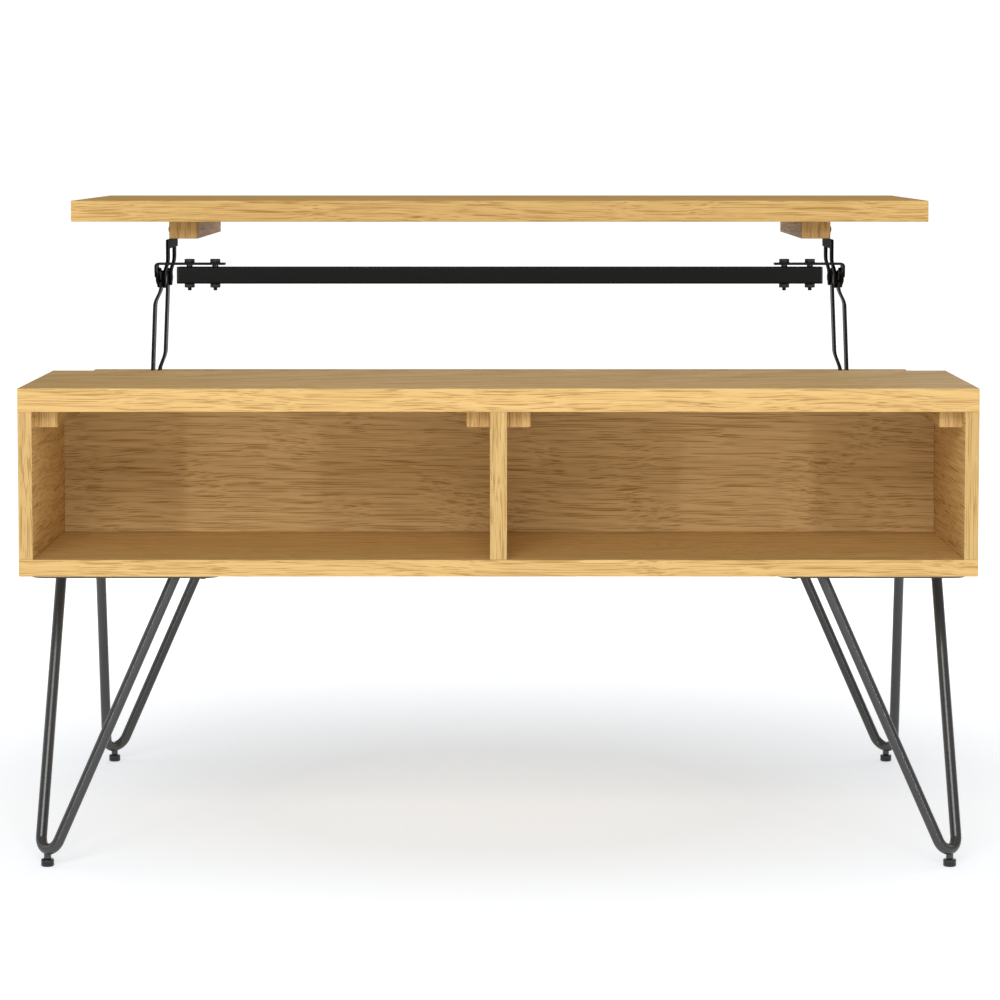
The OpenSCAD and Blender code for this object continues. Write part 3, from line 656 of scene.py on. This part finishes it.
# A darker, duller copy of the black coat for the lid brackets: painted shade, which stands in for the shade
# they sit in under the lid blocks
SHADED_DULL_STEEL = coated("shade_darkened_dull_powder_coat", (0.002, 0.002, 0.002), (0.006, 0.006, 0.006), 0.62, specular=0.04)
BLACK_HARDWARE = coated("blackened_fasteners", (0.008, 0.008, 0.008), (0.022, 0.022, 0.022), 0.36,
                        specular=0.35, bump_depth=0.00002)
LEG_STEEL = coated("gunmetal_powder_coat", (0.045, 0.045, 0.044), (0.070, 0.070, 0.068), 0.16, metallic=0.2,
                   specular=0.5, bump_depth=0.00002)
ZINC = coated("zinc_plate", (0.56, 0.56, 0.58), (0.40, 0.40, 0.42), 0.30, metallic=1.0)
SPRING_STEEL = coated("spring_steel", (0.42, 0.42, 0.44), (0.30, 0.30, 0.32), 0.28, metallic=1.0)
PLASTIC = coated("black_plastic", (0.010, 0.010, 0.010), (0.022, 0.022, 0.022), 0.20, bump_depth=0.00002)
RUBBER = coated("soft_rubber", (0.03, 0.03, 0.03), (0.06, 0.06, 0.06), 0.72)
BEECH = oak("beech_dowel", "z", light=(0.72, 0.52, 0.32), dark=(0.60, 0.40, 0.22), contrast=0.4)

# %% [markdown]
# ## Steel plates, arms and brackets
# These are stamped from sheet and bent, so their shapes are right as they come from CAD, but their edges are
# knife sharp. A copy of each mesh is merged, its flat triangles are dissolved into whole faces, and a bevel
# of half a millimetre rounds the edges the way tumbling and powder coat do.


# %% Steel plates
def eased(node, material, width=0.5 * MM, segments=3):
    source = frame["nodes"][node]
    piece = bpy.data.objects.new(node + "_steel", source.data.copy())
    bpy.context.collection.objects.link(piece)
    settle(piece, node + "_steel")
    bpy.ops.object.mode_set(mode="EDIT")
    bpy.ops.mesh.select_all(action="SELECT")
    bpy.ops.mesh.remove_doubles(threshold=1e-6)
    bpy.ops.mesh.dissolve_limited(angle_limit=math.radians(1))
    bpy.ops.object.mode_set(mode="OBJECT")
    apply_modifier(piece, "BEVEL", width=width, segments=segments, limit_method="ANGLE",
                   angle_limit=math.radians(35), use_clamp_overlap=True)
    paint(piece, material)
    smooth(piece)
    return place(piece, body_of_node(node), slot_of_node(node), node)


for side in ("left", "right"):
    for name in ("front_arm", "rear_arm", "crossbar_bracket", "base_bracket"):
        eased(f"{side}_{name}", BLACK_STEEL)
    # The lid brackets get the copy of the coat that is darkened with painted shade
    eased(f"{side}_lid_bracket", SHADED_DULL_STEEL)
    for end in ("front", "rear"):
        eased(f"{end}_{side}_leg_plate", LEG_STEEL)
eased("crossbar", BLACK_STEEL, width=0.2 * MM)
eased("crossbar_caps", PLASTIC, width=1.6 * MM, segments=4)
print("steel plates done")

# %% [markdown]
# ## Turned pieces
# Screw heads, rivets, feet and bumpers are all round about one axis. Each is a profile, drawn as a few
# points from the axis outwards, that a spin sweeps into a closed body. It is made once, standing on the
# origin, and copies are then laid where the frame has its plain stand-ins.


# %% Turned pieces
def turned(name, profile, steps=32):
    """Spins a profile of (radius, height) points, in millimetres, about Z. It starts and ends on the axis."""
    mesh = bpy.data.meshes.new(name)
    points = [(radius * MM, 0, height * MM) for radius, height in profile]
    mesh.from_pydata(points, [(i, i + 1) for i in range(len(points) - 1)], [])
    piece = bpy.data.objects.new(name, mesh)
    bpy.context.collection.objects.link(piece)
    only(piece)
    bpy.ops.object.mode_set(mode="EDIT")
    bpy.ops.mesh.select_all(action="SELECT")
    bpy.ops.mesh.spin(steps=steps, angle=2 * math.pi, center=(0, 0, 0), axis=(0, 0, 1))
    bpy.ops.mesh.select_all(action="SELECT")
    bpy.ops.mesh.remove_doubles(threshold=1e-6)
    bpy.ops.mesh.normals_make_consistent(inside=False)
    bpy.ops.object.mode_set(mode="OBJECT")
    return piece


def dome(radius, height, base=0.0, steps=6):
    """Points of a low dome from its rim up to the axis."""
    return [(radius * math.cos(step / steps * QUARTER), base + height * math.sin(step / steps * QUARTER))
            for step in range(steps + 1)]


def thread(radius, start, end, pitch=0.8, depth=0.4):
    """Zigzag of a thread's flanks between two heights."""
    turns = int(abs(end - start) / pitch)
    step = (end - start) / max(turns, 1)
    return [(radius - depth * (index % 2), start + step * index / 2) for index in range(2 * turns + 1)]


def cut_cross(piece, top, size, depth):
    """Sinks a cross recess into the top of a screw head."""
    for turn in (0, QUARTER):
        bpy.ops.object.select_all(action="DESELECT")
        bpy.ops.mesh.primitive_cube_add(size=1, location=(0, 0, top))
        cutter = bpy.context.object
        cutter.scale = (size, size * 0.24, depth * 2)
        cutter.rotation_euler = (0, 0, turn)
        settle(cutter, "cutter")
        apply_modifier(piece, "BOOLEAN", object=cutter, operation="DIFFERENCE", solver="EXACT")
        bpy.data.objects.remove(cutter)


HEAD_DOWN = Matrix.Rotation(math.pi, 4, "X")
HEAD_LEFT = Matrix.Rotation(-QUARTER, 4, "Y")
HEAD_RIGHT = Matrix.Rotation(QUARTER, 4, "Y")


def lay_copies(model, node, name, seats):
    """Copies a model to every seat, a place and a turn, and joins the copies for one CAD node."""
    pieces = [reshape(copy_of(model, f"{name}_{index}"), Matrix.Translation(spot) @ turn)
              for index, (spot, turn) in enumerate(seats)]
    whole = joined(pieces, name)
    smooth(whole)
    return place(whole, body_of_node(node), slot_of_node(node), node)


# A pan head screw's sizes in millimetres: its head is a short rim with a low dome on it
SCREW_HEAD_RADIUS = 4.2
SCREW_RIM = 0.8
SCREW_DOME = 1.6
SCREW_HEAD_HEIGHT = SCREW_RIM + SCREW_DOME
SCREW_SHANK_RADIUS = 1.9
RECESS_DEPTH = 1.1


def screw_model(length, material):
    """A pan head screw with its seat at the origin and its head up, the shank going down."""
    profile = [(0, -length), (1.2, -length + 2.5), (SCREW_SHANK_RADIUS, -length + 4), (SCREW_SHANK_RADIUS, 0),
               (SCREW_HEAD_RADIUS, 0), (SCREW_HEAD_RADIUS, SCREW_RIM)]
    profile += dome(SCREW_HEAD_RADIUS, SCREW_DOME, base=SCREW_RIM)[1:]
    piece = turned("screw_model", profile, steps=24)
    cut_cross(piece, SCREW_HEAD_HEIGHT * MM, SCREW_HEAD_RADIUS * MM, RECESS_DEPTH * MM)
    return paint(piece, material)


def middle(low, high):
    return (low + high) / 2


def screw_seats(node):
    """Where each screw of a CAD node seats and which way its head looks."""
    seats = []
    head = SCREW_HEAD_HEIGHT * MM
    for low, high in solids_of(node):
        size = high - low
        centre = middle(low, high)
        if size.z > size.x:
            seats.append((Vector((centre.x, centre.y, low.z + head)), HEAD_DOWN))
        elif node == "base_bracket_screws":
            inner = low.x + head if centre.x > 0 else high.x - head
            seats.append((Vector((inner, centre.y, centre.z)), HEAD_LEFT if centre.x > 0 else HEAD_RIGHT))
        else:
            outer = high.x - head if centre.x > 0 else low.x + head
            seats.append((Vector((outer, centre.y, centre.z)), HEAD_RIGHT if centre.x > 0 else HEAD_LEFT))
    return seats


for node in ("leg_screws", "cleat_screws", "base_bracket_screws", "lid_block_screws", "lid_bracket_screws"):
    low, high = solids_of(node)[0]
    finish = ZINC if slot_of_node(node) == "screw_zinc" else BLACK_HARDWARE
    model = screw_model(max(high - low) / MM - SCREW_HEAD_HEIGHT, finish)
    lay_copies(model, node, node + "_turned", screw_seats(node))
    bpy.data.objects.remove(model)
print("screws done")

# %% [markdown]
# ## Rivets and base pins
# A rivet's two ends are closed with low domes. The stand-ins are plain steps, so each rivet is spun again
# along X between the same two ends.


# %% Rivets and pins
RIVET_HEAD = 2.4
RIVET_SHANK_RADIUS = 4.0


def riveted(node, head_radius, far_radius, near_head, material=BLACK_HARDWARE):
    """Sizes are in millimetres. The near head faces the table's middle; far_radius 0 leaves a plain end."""
    pieces = []
    for index, (low, high) in enumerate(solids_of(node)):
        centre = middle(low, high)
        length = (high.x - low.x) / MM
        crown = near_head * 0.8
        profile = [(0, 0)] + [(r, crown - h) for r, h in reversed(dome(head_radius, crown)[:-1])]
        profile += [(head_radius, near_head), (RIVET_SHANK_RADIUS, near_head)]
        if far_radius > RIVET_SHANK_RADIUS:
            profile += [(RIVET_SHANK_RADIUS, length - RIVET_HEAD), (far_radius, length - RIVET_HEAD)]
            profile += dome(far_radius, RIVET_HEAD * 0.8, base=length - RIVET_HEAD * 0.8)
        else:
            profile += [(RIVET_SHANK_RADIUS, length - 0.3), (RIVET_SHANK_RADIUS - 0.3, length), (0, length)]
        piece = turned(f"{node}_{index}", profile)
        outward = 1 if centre.x > 0 else -1
        turn = HEAD_RIGHT if outward > 0 else HEAD_LEFT
        start = Vector((low.x if outward > 0 else high.x, centre.y, centre.z))
        pieces.append(reshape(piece, Matrix.Translation(start) @ turn))
    whole = joined(pieces, node + "_turned")
    paint(whole, material)
    smooth(whole)
    return place(whole, body_of_node(node), slot_of_node(node), node)


riveted("front_pivot_rivets", 5.4, 5.8, near_head=1.2)
riveted("rear_pivot_rivets", 5.4, 5.8, near_head=1.2)
riveted("base_pivot_pins", 7.0, 0.0, near_head=2.4, material=ZINC)
print("rivets done")

# %% [markdown]
# ## Crossbar bolts
# Four bolts hold the crossbar to its two angle brackets. A hexagon head comes from a six-sided cylinder whose
# upper rim is chamfered, and the thread is a zigzag profile, spun. The same thread shows in the gap above the
# bar and at the tip under the nut.


# %% Crossbar bolts
HEXAGON_RADIUS = 6.2 * MM
HEXAGON_CHAMFER = 0.5 * MM


def hexagon(name, low, high):
    bpy.ops.object.select_all(action="DESELECT")
    bpy.ops.mesh.primitive_cylinder_add(vertices=6, radius=HEXAGON_RADIUS, depth=high - low,
                                        location=(0, 0, (low + high) / 2), rotation=(0, 0, QUARTER))
    piece = settle(bpy.context.object, name)
    bpy.ops.object.mode_set(mode="EDIT")
    bpy.ops.mesh.select_all(action="SELECT")
    bpy.ops.mesh.bevel(offset=HEXAGON_CHAMFER, segments=2, affect="EDGES")
    bpy.ops.object.mode_set(mode="OBJECT")
    return piece


def bolts():
    pieces = []
    for index, (low, high) in enumerate(solids_of("crossbar_bolts")):
        centre = middle(low, high)
        length = (high.z - low.z) / MM
        head = hexagon("head", -3.9 * MM, 0)
        washer = turned("washer", [(0, -4.6), (6.0, -4.6), (6.2, -4.4), (6.2, -4.0), (6.0, -3.8), (0, -3.8)])
        shank = turned("shank", [(0, -length), (1.8, -length)] + thread(2.5, -length + 0.7, -4.2)
                       + [(0, -4.2)], steps=20)
        for part in (head, washer, shank):
            pieces.append(reshape(part, Matrix.Translation((centre.x, centre.y, high.z))))
    whole = paint(joined(pieces, "crossbar_bolts_turned"), BLACK_HARDWARE)
    smooth(whole, 30)
    place(whole, "front_arms", slot_of_node("crossbar_bolts"), "crossbar_bolts")


def nuts():
    pieces = []
    for low, high in solids_of("crossbar_nuts"):
        centre = middle(low, high)
        nut = hexagon("nut", low.z, high.z)
        pieces.append(reshape(nut, Matrix.Translation((centre.x, centre.y, 0))))
    whole = paint(joined(pieces, "crossbar_nuts_turned"), BLACK_HARDWARE)
    smooth(whole, 30)
    place(whole, "front_arms", slot_of_node("crossbar_nuts"), "crossbar_nuts")


bolts()
nuts()
print("crossbar bolts done")

# %% [markdown]
# ## Hairpin legs
# A hairpin leg is one length of round bar, bent once at the foot and welded to a plate at both ends. It is
# made the same way here: a circle is extruded down one straight run, spun round the bend, and extruded up the
# other run. The leg is drawn upright first, then leaned outwards and turned to its corner.

# %% Hairpin legs
ROD_RADIUS = 6 * MM
BEND_RADIUS = 16 * MM
# From one end of the bent bar to the other, measured along X and along Y
ROD_SPREAD = 138.5 * MM
PLATE_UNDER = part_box("front_right_leg_plate")[0].z
FOOT = middle(*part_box("front_right_foot"))
# Heights in millimetres with the foot screwed in: the boss's lower end, and the bar's middle at its lowest
BOSS_LOW = 8.3
BEND_LOW = 18.4
BEND_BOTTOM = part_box("front_right_leg")[0].z - BOSS_LOW * MM + BEND_LOW * MM
HALF_SPREAD = ROD_SPREAD / math.sqrt(2)
MID_DEPTH = middle(*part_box("bottom_panel")).y


def hairpin_rod(sides=28):
    """The bent bar, upright in X and Z, with the middle of its open end at the origin."""
    reach = math.hypot(HALF_SPREAD, PLATE_UNDER - BEND_BOTTOM)
    centre = reach - BEND_RADIUS
    distance = math.hypot(HALF_SPREAD, centre)
    angle = math.atan2(HALF_SPREAD, centre) - math.asin(BEND_RADIUS / distance)
    run = math.sqrt(distance ** 2 - BEND_RADIUS ** 2)
    along = Vector((-math.sin(angle), 0, -math.cos(angle)))
    extra = 12 * MM
    bpy.ops.object.select_all(action="DESELECT")
    start = Vector((HALF_SPREAD, 0, 0)) - along * extra
    bpy.ops.mesh.primitive_circle_add(vertices=sides, radius=ROD_RADIUS, fill_type="NGON", location=start,
                                      rotation=(0, math.pi + angle, 0))
    rod = settle(bpy.context.object, "rod")
    bpy.ops.object.mode_set(mode="EDIT")
    bpy.ops.mesh.select_all(action="SELECT")
    bpy.ops.mesh.extrude_region_move(TRANSFORM_OT_translate={"value": along * (run + extra)})
    bpy.ops.mesh.spin(steps=20, angle=math.pi - 2 * angle, center=(0, 0, -centre), axis=(0, -1, 0))
    back = Vector((-math.sin(angle), 0, math.cos(angle)))
    bpy.ops.mesh.extrude_region_move(TRANSFORM_OT_translate={"value": back * (run + extra)})
    bpy.ops.mesh.select_all(action="SELECT")
    bpy.ops.mesh.remove_doubles(threshold=1e-6)
    bpy.ops.mesh.normals_make_consistent(inside=False)
    bpy.ops.object.mode_set(mode="OBJECT")
    lean = math.atan2(HALF_SPREAD, PLATE_UNDER - BEND_BOTTOM)
    return rod, lean


def front_right_leg():
    rod, lean = hairpin_rod()
    spot = Vector((FOOT.x - ROD_SPREAD / 2, FOOT.y + ROD_SPREAD / 2, PLATE_UNDER))
    turn = Matrix.Rotation(math.radians(45), 4, "Z") @ Matrix.Rotation(-lean, 4, "X")
    reshape(rod, Matrix.Translation(spot) @ turn)
    only(rod)
    bpy.ops.object.mode_set(mode="EDIT")
    bpy.ops.mesh.select_all(action="SELECT")
    bpy.ops.mesh.bisect(plane_co=(0, 0, PLATE_UNDER), plane_no=(0, 0, 1), use_fill=True, clear_outer=True)
    bpy.ops.object.mode_set(mode="OBJECT")
    boss = turned("boss", [(0, BOSS_LOW), (3.5, BOSS_LOW), (3.9, BOSS_LOW + 0.4), (3.9, 15), (0, 15)])
    reshape(boss, Matrix.Translation((FOOT.x, FOOT.y, 0)))
    leg = joined([rod, boss], "leg_model")
    return paint(leg, LEG_STEEL)


def weld_beads():
    """Two lumpy beads round the upper ends of the front right rod."""
    beads = []
    for spot in ((FOOT.x, FOOT.y + ROD_SPREAD), (FOOT.x - ROD_SPREAD, FOOT.y)):
        bpy.ops.object.select_all(action="DESELECT")
        bpy.ops.mesh.primitive_torus_add(major_segments=40, minor_segments=8, major_radius=ROD_RADIUS * 1.05,
                                         minor_radius=1.5 * MM, location=(*spot, PLATE_UNDER - 0.2 * MM))
        bead = settle(bpy.context.object, "bead")
        centre = Vector((*spot, PLATE_UNDER))
        for vert in bead.data.vertices:
            turn = math.atan2(vert.co.y - centre.y, vert.co.x - centre.x)
            vert.co.xy = centre.xy + (vert.co.xy - centre.xy) * (1 + 0.035 * math.sin(turn * 13))
            vert.co.z = min(vert.co.z, PLATE_UNDER + 0.4 * MM)
        beads.append(bead)
    return paint(joined(beads, "bead_model"), LEG_STEEL)


def corner_matrix(side, end):
    """Takes the front right corner to another one."""
    matrix = Matrix.Identity(4)
    if end == "rear":
        flip = Matrix.Diagonal((1, -1, 1, 1))
        matrix = Matrix.Translation((0, 2 * MID_DEPTH, 0)) @ flip
    if side == "left":
        matrix = Matrix.Diagonal((-1, 1, 1, 1)) @ matrix
    return matrix


def foot_model():
    """A moulded pad with a grip groove, on its threaded stud."""
    profile = [(0, 0), (6.0, 0), (6.6, 0.4), (7.0, 1.2), (7.0, 3.2), (6.7, 3.5), (6.7, 4.1), (7.0, 4.4),
               (7.0, 6.6), (6.7, 7.4), (6.0, 7.9), (3.2, 8.0)]
    profile += thread(2.5, 8.05, 20.8) + [(0, 21)]
    foot = turned("foot_model", profile, steps=36)
    reshape(foot, Matrix.Translation((FOOT.x, FOOT.y, 0)))
    return paint(foot, PLASTIC)


models = {"leg": front_right_leg(), "bead": weld_beads(), "foot": foot_model()}
for end in ("front", "rear"):
    for side in ("left", "right"):
        corner = f"{end}_{side}"
        matrix = corner_matrix(side, end)
        leg = reshape(copy_of(models["leg"], corner + "_rod"), matrix)
        smooth(leg, 50)
        place(leg, "cabinet", "leg_steel", corner + "_leg")
        beads = reshape(copy_of(models["bead"], corner + "_welds"), matrix)
        smooth(beads, 60)
        place(beads, "cabinet", "leg_steel")
        foot = reshape(copy_of(models["foot"], corner + "_levelling_foot"), matrix)
        smooth(foot, 40)
        place(foot, corner + "_leveller", "foot_plastic", corner + "_foot")
for model in models.values():
    bpy.data.objects.remove(model)
print("legs done")

# %% [markdown]
# ## Springs
# A torsion spring sits round each rear base pin and helps to lift the lid. Its wire is swept along a helix
# with a straight arm at each end. A real one winds up along its length as the rear arm turns. This one is one
# fixed shape, drawn with its outer arm leaning a little, and it is attached to no moving body.


# %% Springs
def tube(name, points, radius, sides=12):
    """A round wire through a list of points, closed at both ends."""
    verts, faces = [], []
    up = Vector((1, 0, 0))
    count = len(points)
    for index, point in enumerate(points):
        ahead = points[min(index + 1, count - 1)] - points[max(index - 1, 0)]
        ahead.normalize()
        side = ahead.cross(up)
        if side.length < 0.2:
            side = ahead.cross(Vector((0, 0, 1)))
        side.normalize()
        up = side.cross(ahead).normalized()
        for step in range(sides):
            turn = 2 * math.pi * step / sides
            verts.append(point + (side * math.cos(turn) + up * math.sin(turn)) * radius)
    for ring in range(count - 1):
        for step in range(sides):
            first, second = ring * sides + step, ring * sides + (step + 1) % sides
            faces.append((first, second, second + sides, first + sides))
    faces.append(tuple(range(sides - 1, -1, -1)))
    faces.append(tuple(range((count - 1) * sides, count * sides)))
    mesh = bpy.data.meshes.new(name)
    mesh.from_pydata(verts, [], faces)
    piece = bpy.data.objects.new(name, mesh)
    bpy.context.collection.objects.link(piece)
    only(piece)
    bpy.ops.object.mode_set(mode="EDIT")
    bpy.ops.mesh.select_all(action="SELECT")
    bpy.ops.mesh.normals_make_consistent(inside=False)
    bpy.ops.object.mode_set(mode="OBJECT")
    return piece


JOINTS = {joint["name"]: joint for joint in frame["record"]["behaviour"]["joints"]}
REAR_PIVOT = Vector(JOINTS["rear_arm_turn"]["pos_m"])
OPEN_LEAN = math.radians(4)
WIRE_RADIUS = 1.1 * MM
COIL_RADIUS = 6.6 * MM
SPRING_LEG = 32 * MM
COIL_TURNS = 5
STEPS_PER_TURN = 24
# The coil stops short of the rear arm, which is this thick, by this gap
ARM_THICKNESS = 3.0 * MM
ARM_GAP = 1.0 * MM


def spring(side):
    """The right-hand spring, mirrored for the left."""
    low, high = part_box("right_spring")
    inner_x = low.x + WIRE_RADIUS
    outer_x = max(high.x - ARM_THICKNESS - WIRE_RADIUS - ARM_GAP, inner_x + 10 * MM)
    coil = COIL_RADIUS
    points = [Vector((inner_x, REAR_PIVOT.y + coil, REAR_PIVOT.z - SPRING_LEG * (1 - t / 4))) for t in range(4)]
    steps = STEPS_PER_TURN * COIL_TURNS + STEPS_PER_TURN // 2
    for step in range(steps + 1):
        turn = 2 * math.pi * step / STEPS_PER_TURN
        x = inner_x + (outer_x - inner_x) * step / steps
        points.append(Vector((x, REAR_PIVOT.y + coil * math.cos(turn), REAR_PIVOT.z + coil * math.sin(turn))))
    arm = Vector((0, math.sin(OPEN_LEAN), math.cos(OPEN_LEAN)))
    points += [points[-1] + arm * SPRING_LEG * share for share in (0.3, 0.6, 0.9)]
    corner = points[-1] + arm * SPRING_LEG * 0.1
    points += [corner + Vector((0, -1.5 * MM, 0.4 * MM)), corner + Vector((0, -5.6 * MM, 0.6 * MM))]
    points += [corner + Vector((1.5 * MM, -6.8 * MM, 0.6 * MM)),
               corner + Vector((6.0 * MM, -6.8 * MM, 0.6 * MM))]
    piece = tube(f"{side}_torsion_spring", points, WIRE_RADIUS)
    if side == "left":
        reshape(piece, Matrix.Diagonal((-1, 1, 1, 1)))
    paint(piece, SPRING_STEEL)
    smooth(piece, 60)
    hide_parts(f"{side}_spring")
    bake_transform(piece)


for side in ("left", "right"):
    spring(side)
print("springs done")

# %% [markdown]
# ## Bumpers and hidden pieces
# Low domed bumpers wait on the partitions for the closed lid. The spacers, dowels and small tie rivets keep
# their CAD shapes, which nobody sees closely, and only get their finishes.


# %% Bumpers and hidden pieces
def bumpers():
    boxes = solids_of("lid_bumpers")
    height = (boxes[0][1].z - boxes[0][0].z) / MM
    radius = (boxes[0][1].x - boxes[0][0].x) / MM / 2
    model = turned("bumper_model", [(0, 0), (radius, 0), (radius, height * 0.45)]
                   + dome(radius, height * 0.55, base=height * 0.45)[1:])
    paint(model, RUBBER)
    seats = [(Vector((*middle(low, high).xy, low.z)), Matrix.Identity(4)) for low, high in boxes]
    lay_copies(model, "lid_bumpers", "lid_bumpers_moulded", seats)
    bpy.data.objects.remove(model)


bumpers()
KEPT = {"dowels": BEECH, "bracket_tie_rivets": BLACK_HARDWARE, "crossbar_spacers": PLASTIC}
for node, material in KEPT.items():
    shown = frame["nodes"][node]
    for slot in shown.material_slots:
        slot.material = material
print("kept CAD nodes:", sorted(KEPT))
